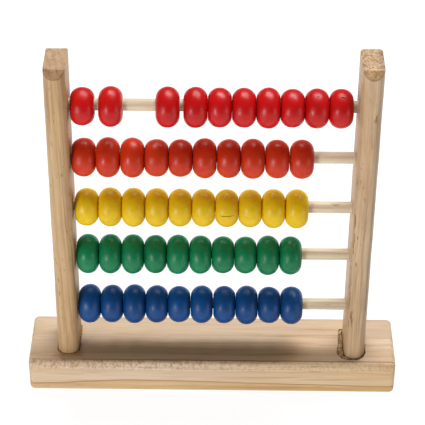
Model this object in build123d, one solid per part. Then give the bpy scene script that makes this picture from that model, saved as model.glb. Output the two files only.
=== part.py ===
"""A small wooden bead abacus: a base board, two posts, five rods and fifty beads.

Millimetres. X runs along the rods to the right, Y points away from the user and Z up.
The origin is the middle of the base board's underside.
"""

import os

from build123d import *

# Base board: a plank with rounded edges.
base_length = 200.0
base_depth = 40.0
base_height = 20.7
base_corner_radius = 3.0
base_edge_radius = 2.4

# Posts: flat at the back, rounded at the front, with a chamfer across the top of the round front.
post_width = 11.2
post_depth = 23.7
post_back_y = 10.6
left_post_inner_x = -73.0
right_post_inner_x = 72.0
left_post_top = 200.5
right_post_top = 202.7
left_nose_radius = 4.8
right_nose_radius = 5.5
left_back_radius = 0.8
right_back_radius = 1.8
right_post_forward = 1.3
top_chamfer = 3.7

# Pockets in the base board: the left one fits its post, the right one was cut too wide.
pocket_depth = 12.0
pocket_clearance = 0.1
loose_pocket_width = 14.8
loose_pocket_side_gap = 0.6
loose_pocket_front_gap = 1.1
loose_pocket_back_gap = 0.5

# Rods: dowels glued into blind holes in the posts.
rod_diameter = 6.2
rod_socket_depth = 6.0
rod_socket_clearance = 0.1
rod_end_chamfer = 0.4
rod_y = -0.7

# Beads: turned discs with a round rim, which hang on the rods by the top of their bores.
bead_bore = 8.8
bead_face_ring = 0.3
bead_hang = 1.2
bead_diameters = {"S": 19.3, "M": 20.0, "L": 20.6}
usual_gap = 0.1

# Each row from the top down: its rod's height, its beads' length along the rod, the size of each
# bead, how much wider this colour's beads are than the sizes say, the gap before the first bead,
# and the gaps after a bead that are wider than usual.
rows = [
    {"colour": "red", "height": 174.8, "bead_length": 12.05, "sizes": "SLLLMMLSMM",
     "extra": 0.0, "first_gap": 0.9, "gaps": {1: 2.1, 2: 16.5, 3: 1.9}},
    {"colour": "orange", "height": 143.9, "bead_length": 12.2, "sizes": "MLLSSLMLMM",
     "extra": 0.0, "first_gap": 0.4, "gaps": {1: 0.2, 2: 0.3, 8: 0.2, 9: 0.4}},
    {"colour": "yellow", "height": 112.5, "bead_length": 12.05, "sizes": "SMMMSSSSMM",
     "extra": 0.5, "first_gap": 1.0, "gaps": {}},
    {"colour": "green", "height": 81.7, "bead_length": 11.85, "sizes": "LLLMLMSSLM",
     "extra": 0.5, "first_gap": 0.6, "gaps": {}},
    {"colour": "blue", "height": 47.5, "bead_length": 12.0, "sizes": "LMLMSMMLSM",
     "extra": 0.5, "first_gap": 0.4, "gaps": {5: 0.25, 6: 0.25, 8: 0.2}},
]


def post_section(nose_radius, back_radius, grow=0.0):
    """A post's outline seen from above, with its back edge on y = 0, grown outwards all round."""
    outline = Rectangle(post_width + 2 * grow, post_depth + 2 * grow)
    outline = Pos(0, -post_depth / 2) * outline
    corners = outline.vertices().sort_by(Axis.Y)
    outline = fillet(corners[:2], nose_radius)
    back_corners = outline.vertices().sort_by(Axis.Y)[-2:]
    return fillet(back_corners, back_radius)


def rod_sockets(inner_x, into_post):
    """The five blind holes that hold the rods' ends, from a post's inner face into the post."""
    depth = rod_socket_depth + rod_socket_clearance
    hole = Cylinder(rod_diameter / 2 + rod_socket_clearance / 2, depth, rotation=(0, 90, 0))
    return [Pos(inner_x + into_post * depth / 2, rod_y, row["height"]) * hole for row in rows]


def post(inner_x, into_post, back_y, top, nose_radius, back_radius):
    """A post from the bottom of its tenon to its chamfered top."""
    bottom = base_height - pocket_depth + pocket_clearance
    section = post_section(nose_radius, back_radius)
    body = extrude(section, amount=top - bottom)
    body = Pos(inner_x + into_post * post_width / 2, back_y, bottom) * body

    nose_y = back_y - post_depth
    corner = Polyline((nose_y, top - top_chamfer), (nose_y + top_chamfer, top), (nose_y, top), close=True)
    wedge = extrude(Plane.YZ * make_face(corner), amount=base_length, both=True)
    body = body - wedge
    for socket in rod_sockets(inner_x, into_post):
        body = body - socket
    return body


def tight_pocket():
    """The left post's pocket, which follows the post with a hair of clearance."""
    section = post_section(left_nose_radius, left_back_radius, pocket_clearance)
    pocket = extrude(section, amount=2 * pocket_depth)
    centre_x = left_post_inner_x - post_width / 2
    return Pos(centre_x, post_back_y, base_height - pocket_depth) * pocket


def loose_pocket():
    """The right post's pocket: a slot with a round front, wider than the post on its inner side."""
    back_y = post_back_y - right_post_forward + loose_pocket_back_gap
    front_y = post_back_y - right_post_forward - post_depth - loose_pocket_front_gap
    length = back_y - front_y
    section = Rectangle(loose_pocket_width, length)
    front_corners = section.vertices().sort_by(Axis.Y)[:2]
    section = fillet(front_corners, 0.49 * loose_pocket_width)
    back_corners = section.vertices().sort_by(Axis.Y)[-2:]
    section = fillet(back_corners, right_back_radius)
    outer_x = right_post_inner_x + post_width + loose_pocket_side_gap
    centre_x = outer_x - loose_pocket_width / 2
    pocket = extrude(section, amount=2 * pocket_depth)
    return Pos(centre_x, (back_y + front_y) / 2, base_height - pocket_depth) * pocket


def base_board():
    board = Box(base_length, base_depth, base_height, align=(Align.CENTER, Align.CENTER, Align.MIN))
    board = fillet(board.edges().filter_by(Axis.Z), base_corner_radius)
    rims = board.edges().group_by(Axis.Z)[0] + board.edges().group_by(Axis.Z)[-1]
    board = fillet(rims, base_edge_radius)
    return board - tight_pocket() - loose_pocket()


def rod(height):
    length = right_post_inner_x - left_post_inner_x + 2 * rod_socket_depth
    dowel = Cylinder(rod_diameter / 2, length, rotation=(0, 90, 0))
    dowel = chamfer(dowel.edges().filter_by(GeomType.CIRCLE), rod_end_chamfer)
    return Pos((left_post_inner_x + right_post_inner_x) / 2, rod_y, height) * dowel


def bead(length, diameter):
    """A disc turned about X, centred on the origin: a narrow flat ring at each end and a round rim."""
    half = length / 2
    bore_radius = bead_bore / 2
    face_radius = bore_radius + bead_face_ring
    rim = EllipticalCenterArc((0, face_radius), half, diameter / 2 - face_radius, start_angle=0, arc_size=180)
    left_face = Line((-half, face_radius), (-half, bore_radius))
    bore = Line((-half, bore_radius), (half, bore_radius))
    right_face = Line((half, bore_radius), (half, face_radius))
    return revolve(make_face(rim + left_face + bore + right_face), Axis.X)


def bead_centres(row):
    """The x of each bead's middle, counted along the rod from the left post."""
    centres = []
    x = left_post_inner_x + row["first_gap"]
    for number in range(1, len(row["sizes"]) + 1):
        centres.append(x + row["bead_length"] / 2)
        x += row["bead_length"] + row["gaps"].get(number, usual_gap)
    return centres


nodes = {
    "base_board": base_board(),
    "left_post": post(left_post_inner_x, -1, post_back_y, left_post_top, left_nose_radius, left_back_radius),
    "right_post": post(right_post_inner_x, 1, post_back_y - right_post_forward, right_post_top,
                       right_nose_radius, right_back_radius),
}
for row in rows:
    nodes[f"{row['colour']}_rod"] = rod(row["height"])
    shapes = {size: bead(row["bead_length"], width + row["extra"]) for size, width in bead_diameters.items()}
    for number, x in enumerate(bead_centres(row), start=1):
        shape = shapes[row["sizes"][number - 1]]
        nodes[f"{row['colour']}_bead_{number:02d}"] = Pos(x, rod_y, row["height"] - bead_hang) * shape

os.makedirs("parts", exist_ok=True)
for name, shape in nodes.items():
    export_step(shape, f"parts/{name}.step")
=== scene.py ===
import math
import random
import bpy
import bmesh
from mathutils import Matrix, Vector


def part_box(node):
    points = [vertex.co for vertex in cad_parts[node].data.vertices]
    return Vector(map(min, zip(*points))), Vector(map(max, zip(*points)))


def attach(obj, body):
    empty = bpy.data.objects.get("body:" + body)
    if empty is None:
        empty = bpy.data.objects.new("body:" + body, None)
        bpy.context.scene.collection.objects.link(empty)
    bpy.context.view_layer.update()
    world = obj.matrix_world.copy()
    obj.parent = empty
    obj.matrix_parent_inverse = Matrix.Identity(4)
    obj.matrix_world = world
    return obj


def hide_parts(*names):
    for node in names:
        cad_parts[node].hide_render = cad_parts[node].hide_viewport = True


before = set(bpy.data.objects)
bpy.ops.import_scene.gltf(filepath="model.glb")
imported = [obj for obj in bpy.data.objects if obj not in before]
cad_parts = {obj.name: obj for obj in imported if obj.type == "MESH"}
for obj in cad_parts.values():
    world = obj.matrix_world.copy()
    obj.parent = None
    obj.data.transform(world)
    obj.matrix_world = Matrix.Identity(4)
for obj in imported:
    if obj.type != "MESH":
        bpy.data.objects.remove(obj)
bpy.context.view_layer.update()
bpy.ops.object.select_all(action="DESELECT")
random.seed(7)

rowNames = ["red", "orange", "yellow", "green", "blue"]
mm = 0.001
hair = 0.1 * mm
topChamfer = 3.7 * mm


# small helpers for meshes

def addBlock(name, low, high):
    bpy.ops.mesh.primitive_cube_add(size=1, location=(low + high) / 2, scale=high - low)
    return settle(name)


def settle(name):
    made = bpy.context.active_object
    made.name = name
    made.data.name = name
    bpy.ops.object.transform_apply(location=True, rotation=True, scale=True)
    return made


def enterEdit(piece):
    bpy.ops.object.select_all(action="DESELECT")
    piece.select_set(True)
    bpy.context.view_layer.objects.active = piece
    bpy.ops.object.mode_set(mode="EDIT")


def leaveEdit():
    bpy.ops.object.mode_set(mode="OBJECT")


def pick(piece, kind, test):
    # selects the vertices, edges or faces whose place passes the test
    bpy.ops.mesh.select_mode(type=kind)
    bpy.ops.mesh.select_all(action="DESELECT")
    mesh = bmesh.from_edit_mesh(piece.data)
    items = {"VERT": mesh.verts, "EDGE": mesh.edges, "FACE": mesh.faces}[kind]
    for item in items:
        if test(item):
            item.select_set(True)
    bmesh.update_edit_mesh(piece.data)


def applyModifier(piece, kind, **settings):
    modifier = piece.modifiers.new(kind.lower(), kind)
    for key, value in settings.items():
        setattr(modifier, key, value)
    bpy.context.view_layer.objects.active = piece
    bpy.ops.object.modifier_apply(modifier=modifier.name)


def cutWith(piece, cutter, materials="INDEX"):
    applyModifier(piece, "BOOLEAN", operation="DIFFERENCE", object=cutter, solver="EXACT",
                  material_mode=materials)
    bpy.data.objects.remove(cutter)


def wobble(piece, size, strength, group=""):
    clouds = bpy.data.textures.new(piece.name + "Wobble", "CLOUDS")
    clouds.noise_scale = size
    clouds.noise_depth = 1
    applyModifier(piece, "DISPLACE", texture=clouds, strength=strength, mid_level=0.5,
                  texture_coords="LOCAL", vertex_group=group)
    bpy.data.textures.remove(clouds)


def shadeByAngle(piece, degrees):
    bpy.ops.object.select_all(action="DESELECT")
    piece.select_set(True)
    bpy.context.view_layer.objects.active = piece
    bpy.ops.object.shade_smooth_by_angle(angle=math.radians(degrees))


def isUpright(edge):
    way = edge.verts[0].co - edge.verts[1].co
    return abs(way.z) > 0.95 * way.length


# small helpers for materials

def newMaterial(name):
    material = bpy.data.materials.new(name)
    material.use_nodes = True
    return material, material.node_tree, material.node_tree.nodes["Principled BSDF"]


def node(tree, kind, inputs=None, **settings):
    made = tree.nodes.new(kind)
    for key, value in settings.items():
        setattr(made, key, value)
    for key, value in (inputs or {}).items():
        if isinstance(value, bpy.types.NodeSocket):
            tree.links.new(value, made.inputs[key])
        else:
            made.inputs[key].default_value = value
    return made


def calc(tree, operation, a, b=0.0, c=0.0):
    return node(tree, "ShaderNodeMath", {0: a, 1: b, 2: c}, operation=operation).outputs[0]


def times(tree, *values):
    product = values[0]
    for value in values[1:]:
        product = calc(tree, "MULTIPLY", product, value)
    return product


def step(tree, value, start, end, low=0.0, high=1.0):
    inputs = {"Value": value, "From Min": start, "From Max": end, "To Min": low, "To Max": high}
    return node(tree, "ShaderNodeMapRange", inputs, interpolation_type="SMOOTHSTEP").outputs[0]


def band(tree, value, low, lowFull, highFull, high):
    # 1 between the two middle values and 0 outside the outer two
    return times(tree, step(tree, value, low, lowFull), step(tree, value, highFull, high, 1.0, 0.0))


def blendColour(tree, factor, a, b, how="MIX"):
    return node(tree, "ShaderNodeMix", {0: factor, 6: a, 7: b}, data_type="RGBA", blend_type=how).outputs[2]


def tint(tree, factor, colour, tone):
    return blendColour(tree, factor, colour, tone, "MULTIPLY")


def colourRamp(tree, value, stops):
    made = node(tree, "ShaderNodeValToRGB", {0: value})
    elements = made.color_ramp.elements
    while len(elements) < len(stops):
        elements.new(0.5)
    for element, (place, colour) in zip(elements, stops):
        element.position = place
        element.color = (*colour, 1)
    return made.outputs[0]


def stretched(tree, vector, stretch):
    return node(tree, "ShaderNodeVectorMath", {0: vector, 1: stretch}, operation="MULTIPLY").outputs[0]


def noise(tree, vector, stretch, detail=2.0, roughness=0.5, output="Fac"):
    inputs = {"Vector": stretched(tree, vector, stretch), "Scale": 1.0, "Detail": detail,
              "Roughness": roughness}
    return node(tree, "ShaderNodeTexNoise", inputs).outputs[output]


# wood

# a ring texture of scale 1 has its rings this many metres apart
ringUnit = 0.31416
woodShine = 0.32


def woodColour(tree, place, look):
    # first the grain's own coordinates, in which x runs along the fibres
    turned = node(tree, "ShaderNodeMapping", {
        "Vector": place, "Location": look["heart"], "Rotation": look["turn"]}).outputs[0]
    drift = noise(tree, turned, (9, 40, 40), 2, 0.5, "Color")
    drift = node(tree, "ShaderNodeVectorMath", {0: drift, 1: (0.5,) * 3}, operation="SUBTRACT").outputs[0]
    bent = node(tree, "ShaderNodeVectorMath", {
        0: drift, 1: (look["waviness"],) * 3, 2: turned}, operation="MULTIPLY_ADD").outputs[0]

    rings = node(tree, "ShaderNodeTexWave", {
        "Vector": bent, "Scale": ringUnit / look["ringSpacing"], "Distortion": 0.35, "Detail": 2.0,
        "Detail Scale": 0.6, "Phase Offset": look["ringPhase"]},
        wave_type="RINGS", rings_direction="X", wave_profile="SAW").outputs["Fac"]
    lateWood = colourRamp(tree, rings, [(0.0, (0, 0, 0)), (0.45, (0.08,) * 3), (0.86, (0.75,) * 3),
                                        (0.95, (1, 1, 1)), (1.0, (0.05,) * 3)])
    streaks = noise(tree, bent, (9, 330, 330), 3, 0.6)
    fibres = noise(tree, bent, (34, 1500, 1500), 3, 0.65)
    patches = noise(tree, turned, (14, 45, 45), 2, 0.5)

    colour = blendColour(tree, step(tree, patches, 0.35, 0.65), look["pale"], look["warm"])
    colour = blendColour(tree, times(tree, lateWood, look["ringStrength"]), colour, look["ringColour"])
    darkStreak = times(tree, step(tree, streaks, 0.52, 0.72), look["streakStrength"])
    colour = blendColour(tree, darkStreak, colour, look["streakColour"])
    fibreTone = colourRamp(tree, fibres, [(0.25, (look["fibreDark"],) * 3), (0.7, (1.05,) * 3)])
    colour = tint(tree, 1.0, colour, fibreTone)

    # short dark pores that lie along the fibres and come in groups
    pores = noise(tree, turned, look["poreStretch"], 1, 0.5)
    groups = step(tree, noise(tree, turned, (30, 120, 120), 1, 0.5), 0.42, 0.62)
    pores = step(tree, pores, look["poreLimit"], look["poreLimit"] + 0.05)
    pores = times(tree, pores, groups, look["poreStrength"])
    colour = blendColour(tree, pores, colour, look["poreColour"])

    # sawn ends: darker, with the fibres seen as fine specks
    normal = node(tree, "ShaderNodeTexCoord").outputs["Normal"]
    facing = node(tree, "ShaderNodeSeparateXYZ", {0: normal}).outputs[look["along"]]
    sawnEnd = step(tree, calc(tree, "ABSOLUTE", facing), 0.45, 0.8)
    specks = noise(tree, place, (950, 950, 950), 2, 0.7)
    endTone = colourRamp(tree, specks, [
        (0.36, look["endDark"]), (0.52, look["endPale"]), (0.68, (1.12, 1.1, 1.05))])
    colour = blendColour(tree, sawnEnd, colour, tint(tree, 1.0, colour, endTone))

    height = calc(tree, "MULTIPLY_ADD", fibres, 0.6, times(tree, streaks, 0.5))
    height = calc(tree, "SUBTRACT", height, times(tree, pores, 0.8))
    height = calc(tree, "MULTIPLY_ADD", times(tree, specks, sawnEnd), 0.8, height)
    return colour, height, fibres


def finishWood(tree, shader, look, colour, height, fibres):
    tree.links.new(colour, shader.inputs["Base Color"])
    roughness = step(tree, fibres, 0.3, 0.7, look["gloss"] - 0.06, look["gloss"] + 0.08)
    tree.links.new(roughness, shader.inputs["Roughness"])
    bump = node(tree, "ShaderNodeBump", {"Height": height, "Strength": look["bump"], "Distance": 0.3 * mm})
    tree.links.new(bump.outputs[0], shader.inputs["Normal"])
    shader.inputs["Specular IOR Level"].default_value = woodShine


def objectPlace(tree):
    return node(tree, "ShaderNodeTexCoord").outputs["Object"]


baseWoodLook = {
    "heart": (0, -0.020, 0.030), "turn": (0, 0, 0), "along": 0, "waviness": 0.0035,
    "ringSpacing": 0.0070, "ringPhase": 2.33, "ringStrength": 0.42,
    "pale": (0.735, 0.57, 0.41, 1), "warm": (0.695, 0.51, 0.345, 1), "ringColour": (0.50, 0.31, 0.145, 1),
    "streakColour": (0.40, 0.24, 0.13, 1), "streakStrength": 0.5, "fibreDark": 0.84,
    "poreStretch": (60, 1400, 1400), "poreLimit": 0.66, "poreStrength": 0.5,
    "poreColour": (0.22, 0.12, 0.06, 1),
    "endDark": (0.80, 0.74, 0.68), "endPale": (0.93, 0.90, 0.86), "gloss": 0.52, "bump": 0.30,
    "edgeLine": (0.33, 0.145, 0.06, 1), "torn": (0.36, 0.20, 0.095, 1),
    "golden": (0.96, 0.86, 0.64, 1), "ringLine": (0.40, 0.23, 0.10, 1),
    # the first colour on the next line is the painted shadow of the beads on the board's top
    # the second colour on the next line is glue stain and painted shade round the foot of the left post
    "paintedBeadShadow": (1.0, 0.85, 0.66, 1), "glueStainAndFootShade": (0.76, 0.52, 0.30, 1),
    "brokenPale": (0.60, 0.40, 0.19, 1), "brokenDark": (0.17, 0.08, 0.03, 1),
}


def outsideRange(tree, value, low, high):
    # how far a coordinate lies outside a range, and negative within it
    fromMiddle = calc(tree, "ABSOLUTE", calc(tree, "SUBTRACT", value, (low + high) / 2))
    return calc(tree, "SUBTRACT", fromMiddle, (high - low) / 2)


def nearPost(tree, x, y, nodeName, reach):
    # 1 at the post's outline and 0 at the given distance outside it
    low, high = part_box(nodeName)
    outX = outsideRange(tree, x, low.x, high.x)
    outY = outsideRange(tree, y, low.y, high.y)
    return step(tree, calc(tree, "MAXIMUM", outX, outY), 0.0, reach, 1.0, 0.0)


def baseWoodMaterial():
    look = baseWoodLook
    material, tree, shader = newMaterial("baseWood")
    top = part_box("base_board")[1].z
    place = objectPlace(tree)
    colour, height, fibres = woodColour(tree, place, look)
    x, y, z = node(tree, "ShaderNodeSeparateXYZ", {0: place}).outputs[:3]

    # painted shadow of the beads: a warmer, darker band on the top of the board in front of the beads
    onTop = step(tree, z, top - 0.0006, top - 0.0001)
    fromMiddle = calc(tree, "ABSOLUTE", calc(tree, "ADD", x, 0.008))
    paintedBeadShadow = times(tree, step(tree, y, -0.006, 0.006, 1.0, 0.0), onTop,
                       step(tree, fromMiddle, 0.045, 0.075, 1.0, 0.25))
    colour = tint(tree, paintedBeadShadow, colour, look["paintedBeadShadow"])

    # an arched growth ring runs along the front face, with golden wood below it
    sway = noise(tree, place, (26, 0, 0), 2, 0.5)
    archRise = step(tree, x, -0.105, -0.045, 0.0040, 0.0074)
    archFall = step(tree, x, -0.045, 0.095, 0.0, -0.0028)
    arch = calc(tree, "MULTIPLY_ADD", sway, 0.0016, calc(tree, "ADD", archRise, archFall))
    ringZ = calc(tree, "SUBTRACT", z, arch)
    frontFace = step(tree, y, -0.0192, -0.0186, 1.0, 0.0)
    below = times(tree, step(tree, ringZ, -0.0004, 0.0003, 0.85, 0.0), frontFace)
    colour = tint(tree, below, colour, look["golden"])
    honey = times(tree, step(tree, x, -0.03, 0.09, 0.0, 0.7), frontFace)
    colour = tint(tree, honey, colour, look["golden"])
    ringLine = times(tree, band(tree, ringZ, -0.0010, -0.0002, 0.0, 0.0006), frontFace, 0.85)
    colour = blendColour(tree, ringLine, colour, look["ringLine"])

    # the sanded front rim: torn grain on the curve, and a thin brown line where it meets the top
    flutter = noise(tree, place, (55, 0, 0), 2, 0.5)
    rimY = calc(tree, "MULTIPLY_ADD", flutter, 0.0012, y)
    onFront = step(tree, rimY, -0.0171, -0.0168, 1.0, 0.0)
    nearTop = step(tree, calc(tree, "MULTIPLY_ADD", flutter, 0.002, z), top - 0.0050, top - 0.0026)
    torn = step(tree, noise(tree, place, (680, 520, 520), 4, 0.75), 0.47, 0.60)
    torn = times(tree, torn, onFront, nearTop, step(tree, x, -0.02, 0.06, 0.72, 0.35))
    colour = blendColour(tree, torn, colour, look["torn"])
    unevenX = calc(tree, "MULTIPLY_ADD", flutter, 0.09, x)
    line = times(tree, band(tree, rimY, -0.0174, -0.0170, -0.0168, -0.0162),
                 step(tree, z, top - 0.0009, top - 0.0004), step(tree, unevenX, -0.05, 0.03, 0.35, 0.95))
    colour = blendColour(tree, line, colour, look["edgeLine"])

    # glue stain and painted shade: a warm brown darkening round the foot of the left post, mostly in front
    # of it
    behindPost = calc(tree, "SUBTRACT", y, times(tree, x, 0.4))
    glueStainAndFootShade = times(tree, nearPost(tree, x, y, "left_post", 0.0046), step(tree, sway, 0.2, 0.8, 0.6, 1.0),
                   step(tree, behindPost, 0.017, 0.023, 1.0, 0.15))
    colour = tint(tree, glueStainAndFootShade, colour, look["glueStainAndFootShade"])

    # broken wood shows inside the mouth of the right pocket
    lumps = noise(tree, place, (800, 800, 800), 3, 0.7)
    broken = blendColour(tree, step(tree, lumps, 0.42, 0.60), look["brokenDark"], look["brokenPale"])
    inside = times(tree, step(tree, z, top - 0.00035, top - 0.00010, 1.0, 0.0),
                   step(tree, calc(tree, "ABSOLUTE", y), 0.0168, 0.0172, 1.0, 0.0),
                   calc(tree, "GREATER_THAN", z, top - 0.013), calc(tree, "GREATER_THAN", x, 0.066),
                   calc(tree, "LESS_THAN", x, 0.086))
    colour = blendColour(tree, inside, colour, broken)
    height = calc(tree, "MULTIPLY_ADD", torn, -0.5, height)
    finishWood(tree, shader, look, colour, height, fibres)
    return material


leftPostLook = {
    "heart": (0.06, 0.012, -0.118), "turn": (0, math.radians(91.6), 0), "along": 2, "waviness": 0.0050,
    "ringSpacing": 0.0034, "ringPhase": 1.2, "ringStrength": 0.42,
    "pale": (0.625, 0.42, 0.225, 1), "warm": (0.58, 0.37, 0.185, 1), "ringColour": (0.36, 0.20, 0.085, 1),
    "streakColour": (0.27, 0.14, 0.06, 1), "streakStrength": 0.62, "fibreDark": 0.76,
    "poreStretch": (210, 1000, 1000), "poreLimit": 0.66, "poreStrength": 0.75,
    "poreColour": (0.17, 0.08, 0.035, 1),
    "endDark": (0.86, 0.87, 0.98), "endPale": (0.90, 0.92, 1.10), "gloss": 0.46, "bump": 0.28,
    "grime": 0.8, "grimeColour": (0.84, 0.80, 0.76, 1), "slopeTone": (0.84, 0.76, 0.68, 1),
    # the strength and colour of the painted shade on the right side of the round front
    "side": 0.55, "paintedSideShade": (0.84, 0.77, 0.68, 1),
}

rightPostLook = dict(leftPostLook)
rightPostLook.update({
    "heart": (0.31, -0.016, 0.055), "ringSpacing": 0.0042, "ringPhase": 0.3, "ringStrength": 0.3,
    # full strength for the painted shade on the right side of the round front
    "pale": (0.67, 0.475, 0.29, 1), "warm": (0.61, 0.41, 0.24, 1), "side": 1.0,
    "poreStretch": (150, 760, 760), "poreLimit": 0.63, "poreStrength": 0.85,
    "poreColour": (0.22, 0.085, 0.03, 1), "turn": (0, math.radians(90), 0),
    "endDark": (0.50, 0.40, 0.32), "endPale": (0.98, 0.95, 0.92), "bump": 0.34,
    # the second colour on the next line is a grey painted shade for the right side of the round front
    "slopeTone": (0.92, 0.82, 0.68, 1), "paintedSideShade": (0.66, 0.66, 0.68, 1),
})

rodLook = dict(leftPostLook)
rodLook.update({
    "heart": (0.02, 0.009, -0.004), "turn": (0, 0, 0), "along": 0, "waviness": 0.0022,
    "ringSpacing": 0.0031, "ringPhase": 0.5, "ringStrength": 0.27,
    "pale": (0.78, 0.66, 0.475, 1), "warm": (0.73, 0.59, 0.405, 1), "ringColour": (0.50, 0.35, 0.21, 1),
    "streakColour": (0.36, 0.23, 0.135, 1), "streakStrength": 0.55, "fibreDark": 0.76,
    "poreStretch": (160, 1300, 1300), "poreLimit": 0.70, "poreStrength": 0.8,
    "endDark": (0.6, 0.52, 0.45), "endPale": (0.95, 0.92, 0.88), "gloss": 0.55, "bump": 0.3,
})


def woodMaterial(name, look):
    material, tree, shader = newMaterial(name)
    colour, height, fibres = woodColour(tree, objectPlace(tree), look)
    finishWood(tree, shader, look, colour, height, fibres)
    return material


def postWoodMaterial(name, look, nodeName):
    material, tree, shader = newMaterial(name)
    place = objectPlace(tree)
    colour, height, fibres = woodColour(tree, place, look)
    x, y, z = node(tree, "ShaderNodeSeparateXYZ", {0: place}).outputs[:3]
    low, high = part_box(nodeName)

    # handled wood: slow grey-brown patches
    grime = noise(tree, place, (110, 110, 38), 3, 0.6)
    colour = tint(tree, step(tree, grime, 0.45, 0.75, 0.0, look["grime"]), colour, look["grimeColour"])

    # painted shade on the right side of each round front, broken up by the fine lines of close growth rings
    shaded = step(tree, x, high.x - 0.0042, high.x - 0.0008, 0.0, look["side"])
    closeRings = noise(tree, place, (1500, 1500, 22), 2, 0.6)
    shaded = times(tree, shaded, step(tree, closeRings, 0.35, 0.62, 0.35, 1.0))
    colour = tint(tree, shaded, colour, look["paintedSideShade"])

    # the sawn slope at the top of the round front is darker, with a dark line where it meets the round
    normal = node(tree, "ShaderNodeTexCoord").outputs["Normal"]
    slope = node(tree, "ShaderNodeVectorMath", {0: normal, 1: (0, -0.7071, 0.7071)}, operation="DOT_PRODUCT")
    slope = step(tree, slope.outputs["Value"], 0.93, 0.98)
    colour = tint(tree, times(tree, slope, 0.85), colour, look["slopeTone"])
    outside = calc(tree, "SUBTRACT", calc(tree, "SUBTRACT", z, y), high.z - topChamfer - low.y)
    ragged = noise(tree, place, (500, 500, 500), 2, 0.6)
    outside = calc(tree, "MULTIPLY_ADD", ragged, 0.0006, outside)
    slopeEnd = low.y + topChamfer
    outline = times(tree, step(tree, outside, -0.0007, -0.0002), step(tree, slope, 0.0, 0.5, 1.0, 0.0),
                    step(tree, y, slopeEnd - 0.0006, slopeEnd - 0.0002, 1.0, 0.0))
    colour = blendColour(tree, times(tree, outline, 0.6), colour, look["poreColour"])
    finishWood(tree, shader, look, colour, height, fibres)
    return material


baseWood = baseWoodMaterial()
leftPostWood = postWoodMaterial("leftPostWood", leftPostLook, "left_post")
rightPostWood = postWoodMaterial("rightPostWood", rightPostLook, "right_post")
rodWood = woodMaterial("rodWood", rodLook)
print("wood materials made")


# posts

postShape = {
    "left": {"nose": 4.8 * mm, "back": 0.8 * mm, "soft": 0.35 * mm, "wood": leftPostWood},
    "right": {"nose": 5.5 * mm, "back": 1.8 * mm, "soft": 0.6 * mm, "wood": rightPostWood},
}
postDetail = {"socketClearance": 0.05 * mm, "cuts": 36, "wobbleSize": 22 * mm, "wobble": 0.32 * mm}
longEdge = 100 * mm


def shapePost(side):
    shape = postShape[side]
    low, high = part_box(side + "_post")
    post = addBlock(side + "Post", low, high)
    middle = (low.y + high.y) / 2
    enterEdit(post)
    pick(post, "EDGE", lambda edge: isUpright(edge) and edge.verts[0].co.y < middle)
    bpy.ops.mesh.bevel(offset=shape["nose"], segments=14, affect="EDGES")
    pick(post, "EDGE", lambda edge: isUpright(edge) and edge.verts[0].co.y > high.y - hair)
    bpy.ops.mesh.bevel(offset=shape["back"], segments=6, affect="EDGES")
    bpy.ops.mesh.select_all(action="SELECT")
    bpy.ops.mesh.bisect(plane_co=(0, low.y, high.z - topChamfer), plane_no=(0, -1, 1),
                        clear_outer=True, use_fill=True)
    leaveEdit()
    applyModifier(post, "BEVEL", width=shape["soft"], segments=4, limit_method="ANGLE",
                  angle_limit=math.radians(32))
    enterEdit(post)
    pick(post, "EDGE", lambda edge: isUpright(edge) and edge.calc_length() > longEdge)
    bpy.ops.mesh.subdivide(number_cuts=postDetail["cuts"])
    leaveEdit()
    wobble(post, postDetail["wobbleSize"], postDetail["wobble"])
    for row in rowNames:
        start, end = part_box(row + "_rod")
        radius = (end.z - start.z) / 2 + postDetail["socketClearance"]
        bpy.ops.mesh.primitive_cylinder_add(vertices=48, radius=radius, depth=end.x - start.x + hair,
                                            location=(start + end) / 2, rotation=(0, math.radians(90), 0))
        cutWith(post, settle("socketCutter"))
    shadeByAngle(post, 30)
    post.data.materials.append(shape["wood"])
    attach(post, "frame")
    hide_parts(side + "_post")


shapePost("left")
shapePost("right")
print("posts made")


# base board

boardShape = {
    "corner": 3.0 * mm, "rim": 2.4 * mm, "pocketFloor": 8.7 * mm,
    "tightGap": 0.1 * mm, "looseLow": (68.4 * mm, -15.5 * mm), "looseHigh": (83.8 * mm, 9.8 * mm),
    "looseFront": 7.0 * mm, "looseBack": 1.6 * mm, "looseTaper": 2.0 * mm,
    "chipGrow": 0.45 * mm, "chipDepth": 0.75 * mm, "chipSpread": 2.6 * mm, "chipGrain": 2.4 * mm,
}


def outlineBlock(name, low, high, frontRadius, backRadius, taper=0.0):
    # the taper moves the back left corner inwards
    middle = (low + high) / 2
    block = addBlock(name, low, high)
    enterEdit(block)
    if taper:
        pick(block, "VERT", lambda vert: vert.co.x < middle.x and vert.co.y > middle.y)
        bpy.ops.transform.translate(value=(taper, 0, 0))
    pick(block, "EDGE", lambda edge: isUpright(edge) and edge.verts[0].co.y < middle.y)
    bpy.ops.mesh.bevel(offset=frontRadius, segments=14, affect="EDGES")
    pick(block, "EDGE", lambda edge: isUpright(edge) and edge.verts[0].co.y > high.y - hair)
    bpy.ops.mesh.bevel(offset=backRadius, segments=5, affect="EDGES")
    leaveEdit()
    return block


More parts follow.
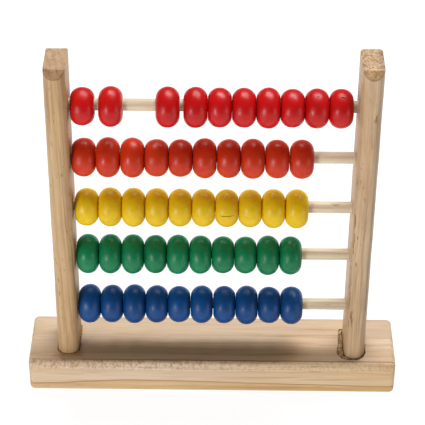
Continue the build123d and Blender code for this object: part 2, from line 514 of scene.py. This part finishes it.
def shapeBoard():
    shape = boardShape
    low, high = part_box("base_board")
    board = addBlock("baseBoard", low, high)
    enterEdit(board)
    pick(board, "EDGE", isUpright)
    bpy.ops.mesh.bevel(offset=shape["corner"], segments=8, affect="EDGES")
    pick(board, "EDGE", lambda edge: abs(edge.verts[0].co.z - edge.verts[1].co.z) < 1e-6)
    bpy.ops.mesh.bevel(offset=shape["rim"], segments=8, affect="EDGES")
    leaveEdit()

    postLow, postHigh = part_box("left_post")
    gap = shape["tightGap"]
    cutLow = Vector((postLow.x - gap, postLow.y - gap, shape["pocketFloor"]))
    cutHigh = Vector((postHigh.x + gap, postHigh.y + gap, high.z + 5 * mm))
    cutWith(board, outlineBlock("tightPocket", cutLow, cutHigh, postShape["left"]["nose"],
                                postShape["left"]["back"]))
    cutLow = Vector((*shape["looseLow"], shape["pocketFloor"]))
    cutHigh = Vector((*shape["looseHigh"], high.z + 5 * mm))
    cutWith(board, outlineBlock("loosePocket", cutLow, cutHigh, shape["looseFront"], shape["looseBack"],
                                shape["looseTaper"]))

    # splinters broken out round the mouth of the loose pocket
    grow = shape["chipGrow"]
    chipLow = Vector((cutLow.x - grow, cutLow.y - grow, high.z - shape["chipDepth"]))
    chipHigh = Vector((cutHigh.x + grow, cutHigh.y + grow, high.z + 3 * mm))
    chips = outlineBlock("chips", chipLow, chipHigh, shape["looseFront"], shape["looseBack"],
                         shape["looseTaper"])
    enterEdit(chips)
    pick(chips, "EDGE", lambda edge: not isUpright(edge) and edge.calc_length() > 2 * mm)
    bpy.ops.mesh.subdivide(number_cuts=30)
    leaveEdit()
    wobble(chips, shape["chipGrain"], shape["chipSpread"])
    cutWith(board, chips)
    shadeByAngle(board, 30)
    board.data.materials.append(baseWood)
    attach(board, "frame")
    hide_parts("base_board")


shapeBoard()
print("base board made")


# filler and glue at the feet of the posts

fillerShape = {"top": 20.6 * mm, "bottom": 9.5 * mm, "rough": 1.1 * mm, "grain": 1.3 * mm,
               "loose": 0.4 * mm, "crumb": 0.28 * mm}
glueShape = {"width": 0.70 * mm, "height": 0.42 * mm, "rough": 0.45 * mm, "grain": 2.2 * mm,
             "nose": 5.2 * mm, "back": 1.2 * mm, "depth": 0.4 * mm}
fillerLook = {"pale": (0.66, 0.45, 0.22, 1), "dark": (0.22, 0.11, 0.045, 1)}
glueLook = {"pale": (0.42, 0.22, 0.08, 1), "dark": (0.16, 0.07, 0.025, 1)}


def crumbMaterial(name, look, gloss):
    material, tree, shader = newMaterial(name)
    place = objectPlace(tree)
    lumps = noise(tree, place, (900, 900, 900), 3, 0.65)
    crumbs = noise(tree, place, (2600, 2600, 2600), 2, 0.6)
    colour = blendColour(tree, step(tree, lumps, 0.38, 0.58), look["dark"], look["pale"])
    tone = colourRamp(tree, crumbs, [(0.3, (0.6, 0.55, 0.5)), (0.65, (1.15, 1.12, 1.05))])
    colour = tint(tree, 1.0, colour, tone)
    tree.links.new(colour, shader.inputs["Base Color"])
    shader.inputs["Roughness"].default_value = gloss
    height = calc(tree, "MULTIPLY_ADD", lumps, 1.4, crumbs)
    bump = node(tree, "ShaderNodeBump", {"Height": height, "Strength": 0.7, "Distance": 0.0004})
    tree.links.new(bump.outputs[0], shader.inputs["Normal"])
    return material


def shapeFiller():
    shape = fillerShape
    low = Vector((*boardShape["looseLow"], shape["bottom"])) + Vector((0.05, 0.05, 0)) * mm
    high = Vector((*boardShape["looseHigh"], shape["top"])) - Vector((0.05, 0.05, 0)) * mm
    filler = outlineBlock("pocketFiller", low, high, boardShape["looseFront"], boardShape["looseBack"],
                          boardShape["looseTaper"])
    postLow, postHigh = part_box("right_post")
    grow = Vector((0.35, 0.40, 0)) * mm
    hole = outlineBlock("fillerHole", postLow - grow - Vector((0, 0, 0.01)),
                        Vector((postHigh.x, postHigh.y, 0.03)) + grow,
                        postShape["right"]["nose"], postShape["right"]["back"])
    cutWith(filler, hole)
    applyModifier(filler, "REMESH", mode="VOXEL", voxel_size=shape["crumb"])
    group = filler.vertex_groups.new(name="top")
    topLevel = shape["top"] - shape["loose"]
    topVerts = [vert.index for vert in filler.data.vertices if vert.co.z > topLevel]
    group.add(topVerts, 1.0, "REPLACE")
    clouds = bpy.data.textures.new("fillerClouds", "CLOUDS")
    clouds.noise_scale = shape["grain"]
    applyModifier(filler, "DISPLACE", texture=clouds, strength=shape["rough"], mid_level=0.55,
                  direction="Z", texture_coords="LOCAL", vertex_group="top")
    shadeByAngle(filler, 50)
    filler.data.materials.append(crumbMaterial("fillerCrumbs", fillerLook, 0.85))
    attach(filler, "frame")


def shapeGlue():
    shape = glueShape
    low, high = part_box("left_post")
    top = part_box("base_board")[1].z
    grow = Vector((shape["width"], shape["width"], 0))
    outer = outlineBlock("leftGlueLine", Vector((low.x, low.y, top - shape["depth"])) - grow,
                         Vector((high.x, high.y, top + shape["height"])) + grow,
                         shape["nose"], shape["back"])
    hole = outlineBlock("glueHole", Vector((low.x, low.y, 0)) + grow * 0.1,
                        Vector((high.x, high.y, 0.04)) - grow * 0.1,
                        postShape["left"]["nose"], postShape["left"]["back"])
    applyModifier(outer, "BEVEL", width=0.3 * mm, segments=3, limit_method="ANGLE",
                  angle_limit=math.radians(40))
    enterEdit(outer)
    pick(outer, "EDGE", lambda edge: edge.calc_length() > 2 * mm)
    bpy.ops.mesh.subdivide(number_cuts=24)
    leaveEdit()
    wobble(outer, shape["grain"], shape["rough"])
    cutWith(outer, hole)
    shadeByAngle(outer, 50)
    outer.data.materials.append(crumbMaterial("glueLine", glueLook, 0.4))
    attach(outer, "frame")


shapeFiller()
shapeGlue()
print("filler and glue made")


# rods

rodShape = {"sides": 56, "thinner": 0.02 * mm, "endRounding": 0.5 * mm, "cuts": 50,
            "wobbleSize": 9 * mm, "wobble": 0.09 * mm}


def shapeRod(row):
    low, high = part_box(row + "_rod")
    radius = (high.z - low.z) / 2 - rodShape["thinner"]
    bpy.ops.mesh.primitive_cylinder_add(vertices=rodShape["sides"], radius=radius, depth=high.x - low.x,
                                        location=(low + high) / 2, rotation=(0, math.radians(90), 0))
    rod = settle(row + "Rod")
    enterEdit(rod)
    pick(rod, "EDGE", lambda edge: abs(edge.verts[0].co.x - edge.verts[1].co.x) < 1e-6)
    bpy.ops.mesh.bevel(offset=rodShape["endRounding"], segments=3, affect="EDGES")
    pick(rod, "EDGE", lambda edge: edge.calc_length() > longEdge)
    bpy.ops.mesh.subdivide(number_cuts=rodShape["cuts"])
    leaveEdit()
    wobble(rod, rodShape["wobbleSize"], rodShape["wobble"])
    shadeByAngle(rod, 30)
    rod.data.materials.append(rodWood)
    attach(rod, "frame")
    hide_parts(row + "_rod")


for row in rowNames:
    shapeRod(row)
print("rods made")


# beads

beadShape = {"boreRadius": 4.4 * mm, "faceRadius": 4.7 * mm, "profilePoints": 64, "turns": 84,
             "wobble": 0.34 * mm, "wobbleSize": 7.5 * mm}
enamelShine = 0.31
rubbedWood = (0.50, 0.35, 0.20, 1)

paintLooks = {
    "red": {"colour": (0.55, 0.003, 0.003, 1), "deep": (0.41, 0.001, 0.001, 1), "gloss": 0.34},
    "orange": {"colour": (0.57, 0.030, 0.003, 1), "deep": (0.43, 0.014, 0.001, 1), "gloss": 0.36},
    "yellow": {"colour": (0.78, 0.52, 0.003, 1), "deep": (0.67, 0.395, 0.002, 1), "gloss": 0.36},
    "green": {"colour": (0.002, 0.205, 0.076, 1), "deep": (0.001, 0.130, 0.045, 1), "gloss": 0.36},
    "blue": {"colour": (0.001, 0.062, 0.235, 1), "deep": (0.001, 0.036, 0.145, 1), "gloss": 0.40},
}


def enamelMaterial(row):
    look = paintLooks[row]
    material, tree, shader = newMaterial(row + "Enamel")
    place = objectPlace(tree)
    beadToBead = noise(tree, place, (70, 9, 9), 0, 0.5)
    mottle = noise(tree, place, (330, 330, 330), 3, 0.6)
    grain = noise(tree, place, (230, 1500, 1500), 2, 0.6)
    amount = step(tree, beadToBead, 0.35, 0.65, 0.0, 0.35)
    amount = calc(tree, "MULTIPLY_ADD", step(tree, mottle, 0.42, 0.72), 0.55, amount)
    colour = blendColour(tree, amount, look["colour"], look["deep"])
    specks = step(tree, noise(tree, place, (1500, 1500, 1500), 0, 0.5), 0.77, 0.82)
    colour = blendColour(tree, times(tree, specks, 0.5), colour, look["deep"])

    # the paint is rubbed through to the wood at the mouth of the bore
    low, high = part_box(row + "_bead_01")
    axis = (low + high) / 2
    y, z = node(tree, "ShaderNodeSeparateXYZ", {0: place}).outputs[1:3]
    y = calc(tree, "SUBTRACT", y, axis.y)
    z = calc(tree, "SUBTRACT", z, axis.z)
    radius = calc(tree, "SQRT", calc(tree, "MULTIPLY_ADD", y, y, times(tree, z, z)))
    worn = calc(tree, "MULTIPLY_ADD", mottle, 0.0012, radius)
    worn = step(tree, worn, 0.0051, 0.0054, 0.85, 0.0)
    colour = blendColour(tree, worn, colour, rubbedWood)

    tree.links.new(colour, shader.inputs["Base Color"])
    roughness = step(tree, mottle, 0.35, 0.7, look["gloss"] - 0.04, look["gloss"] + 0.08)
    tree.links.new(roughness, shader.inputs["Roughness"])
    shader.inputs["Specular IOR Level"].default_value = enamelShine
    height = calc(tree, "MULTIPLY_ADD", grain, 0.30, mottle)
    bump = node(tree, "ShaderNodeBump", {"Height": height, "Strength": 0.11, "Distance": 0.00035})
    tree.links.new(bump.outputs[0], shader.inputs["Normal"])
    return material


def turnBead(name, length, diameter):
    # half of an ellipse for the rim, closed by the flat rings and the bore, and spun round the rod's axis
    face = beadShape["faceRadius"]
    bore = beadShape["boreRadius"]
    bpy.ops.mesh.primitive_circle_add(vertices=beadShape["profilePoints"], radius=1,
                                      rotation=(math.radians(90), 0, 0))
    bead = settle(name)
    enterEdit(bead)
    bpy.ops.mesh.select_all(action="SELECT")
    bpy.ops.transform.resize(value=(length / 2, 1, diameter / 2 - face), center_override=(0, 0, 0))
    pick(bead, "VERT", lambda vert: vert.co.z < -1e-6)
    bpy.ops.mesh.delete(type="VERT")
    bpy.ops.mesh.select_all(action="SELECT")
    bpy.ops.transform.translate(value=(0, 0, face))
    pick(bead, "VERT", lambda vert: vert.co.z < face + 1e-6)
    bpy.ops.mesh.extrude_vertices_move(TRANSFORM_OT_translate={"value": (0, 0, bore - face)})
    bpy.ops.mesh.edge_face_add()
    pick(bead, "EDGE", lambda edge: edge.calc_length() > 0.9 * length)
    bpy.ops.mesh.subdivide(number_cuts=5)
    bpy.ops.mesh.select_all(action="SELECT")
    bpy.ops.mesh.spin(steps=beadShape["turns"], angle=math.radians(360), center=(0, 0, 0), axis=(1, 0, 0))
    bpy.ops.mesh.select_all(action="SELECT")
    bpy.ops.mesh.remove_doubles(threshold=1e-6)
    bpy.ops.mesh.normals_make_consistent(inside=False)
    leaveEdit()
    return bead


def placeBead(pattern, row, number, material):
    nodeName = f"{row}_bead_{number:02d}"
    low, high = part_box(nodeName)
    centre = (low + high) / 2
    bead = pattern.copy()
    bead.data = pattern.data.copy()
    bead.name = f"{row}Bead{number:02d}"
    bead.data.name = bead.name
    bpy.context.scene.collection.objects.link(bead)
    bead.data.transform(Matrix.Rotation(random.uniform(0, math.tau), 4, "X"))
    bead.data.transform(Matrix.Translation(centre))
    # the rim is uneven from hand turning, while the end faces stay flat so that beads meet cleanly
    group = bead.vertex_groups.new(name="rim")
    for vert in bead.data.vertices:
        out = (vert.co.yz - centre.yz).length
        away = 1 - abs(vert.co.x - centre.x) / ((high.x - low.x) / 2)
        outward = min(1.0, max(0.0, (out - beadShape["faceRadius"]) / (3 * mm)))
        group.add([vert.index], outward * min(1.0, 2.2 * away + 0.02), "REPLACE")
    wobble(bead, beadShape["wobbleSize"], beadShape["wobble"], "rim")
    bead.vertex_groups.clear()
    bead.data.materials.append(material)
    return bead, nodeName, centre, (high.z - low.z) / 2


# cracks and dents in single beads, in degrees above the front and in millimetres
flaws = {
    "yellow_bead_07": [
        {"angle": 10, "tilt": 2, "along": 0.3, "length": 10.8, "width": 0.44, "depth": 1.5}],
    "red_bead_10": [
        {"angle": 66, "tilt": -8, "along": 0.6, "length": 2.9, "width": 0.85, "depth": 0.55}],
    "red_bead_09": [
        {"angle": 70, "tilt": 20, "along": 0.2, "length": 1.5, "width": 0.5, "depth": 0.35},
        {"angle": 40, "tilt": 60, "along": -0.1, "length": 0.8, "width": 0.5, "depth": 0.3}],
}
# the cracks and dents get a very dark material: the colour of bare wood darkened with painted shade in the
# recesses
bareWoodAndPaintedShade = crumbMaterial("bareWoodAndPaintedShade", {"pale": (0.20, 0.085, 0.03, 1), "dark": (0.06, 0.02, 0.008, 1)}, 0.7)


def cutFlaw(bead, centre, rimRadius, flaw):
    bpy.ops.mesh.primitive_cylinder_add(vertices=16, radius=1, depth=1)
    cutter = settle("flawCutter")
    length, width, depth, along = (flaw[key] * mm for key in ("length", "width", "depth", "along"))
    cutter.data.transform(Matrix.Diagonal((length / 2, width / 2, depth * 2, 1)))
    enterEdit(cutter)
    pick(cutter, "FACE", lambda face: face.normal.z < -0.9)
    bpy.ops.transform.resize(value=(0.78, 0.5, 1), center_override=(0, 0, -depth))
    leaveEdit()
    turn = math.radians(90 - flaw["angle"])
    cutter.data.transform(Matrix.Rotation(math.radians(flaw["tilt"]), 4, "Z"))
    cutter.data.transform(Matrix.Translation((along, 0, rimRadius)))
    cutter.data.transform(Matrix.Rotation(turn, 4, "X"))
    cutter.data.transform(Matrix.Translation(centre))
    cutter.data.update()
    cutter.data.materials.append(bareWoodAndPaintedShade)
    cutWith(bead, cutter, "TRANSFER")


for row in rowNames:
    enamel = enamelMaterial(row)
    patterns = {}
    for number in range(1, 11):
        low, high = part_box(f"{row}_bead_{number:02d}")
        size = round((high.z - low.z) / mm, 1)
        if size not in patterns:
            patterns[size] = turnBead(f"{row}Pattern", high.x - low.x, high.z - low.z)
        bead, nodeName, centre, rimRadius = placeBead(patterns[size], row, number, enamel)
        for flaw in flaws.get(nodeName, []):
            cutFlaw(bead, centre, rimRadius, flaw)
        shadeByAngle(bead, 40)
        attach(bead, nodeName)
        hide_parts(nodeName)
    for pattern in patterns.values():
        bpy.data.objects.remove(pattern)
    print(row, "beads made")


# floor, light and camera

stageLook = {"floor": (0.22, 0.22, 0.22, 1), "glow": 0.90, "sky": 0.13}
softboxes = {
    "overhead": {"place": (0.14, 0.42, 1.15), "size": (0.85, 0.5), "power": 15.6},
    "frontLeft": {"place": (-0.66, -0.90, 0.21), "size": (0.24, 0.50), "power": 6.5},
    "frontRight": {"place": (0.95, -0.60, 0.20), "size": (0.34, 0.46), "power": 1.5},
}
cameraLook = {"place": (0.0022, -0.7381, 0.6516), "tilt": 53.62, "turn": 0.21, "roll": 0.47, "lens": 148.5}


def hangSoftbox(name, look):
    lamp = bpy.data.lights.new(name, "AREA")
    lamp.shape = "RECTANGLE"
    lamp.size, lamp.size_y = look["size"]
    lamp.energy = look["power"]
    holder = bpy.data.objects.new(name, lamp)
    bpy.context.scene.collection.objects.link(holder)
    holder.location = look["place"]
    holder.rotation_euler = (Vector((0, 0, 0.09)) - holder.location).to_track_quat("-Z", "Y").to_euler()


bpy.ops.mesh.primitive_plane_add(size=9)
floor = settle("floor")
floorPaper, floorTree, floorShader = newMaterial("floorPaper")
floorShader.inputs["Base Color"].default_value = stageLook["floor"]
floorShader.inputs["Roughness"].default_value = 0.9
floorShader.inputs["Specular IOR Level"].default_value = 0.1
floorShader.inputs["Emission Color"].default_value = (1, 1, 1, 1)
floorShader.inputs["Emission Strength"].default_value = stageLook["glow"]
floor.data.materials.append(floorPaper)

for name, look in softboxes.items():
    hangSoftbox(name, look)

world = bpy.data.worlds.new("studio")
world.use_nodes = True
world.node_tree.nodes["Background"].inputs[0].default_value = (1, 1, 1, 1)
world.node_tree.nodes["Background"].inputs[1].default_value = stageLook["sky"]
bpy.context.scene.world = world

camera = bpy.data.objects.new("camera", bpy.data.cameras.new("camera"))
bpy.context.scene.collection.objects.link(camera)
camera.data.lens = cameraLook["lens"]
camera.data.sensor_width = 36
camera.data.clip_start = 0.01
camera.location = cameraLook["place"]
tilt, turn, roll = (math.radians(cameraLook[key]) for key in ("tilt", "turn", "roll"))
aim = Matrix.Rotation(turn, 4, "Z") @ Matrix.Rotation(tilt, 4, "X") @ Matrix.Rotation(roll, 4, "Z")
camera.rotation_euler = aim.to_euler()
bpy.context.scene.camera = camera
bpy.context.scene.view_settings.view_transform = "Standard"
print("floor, lights and camera made")
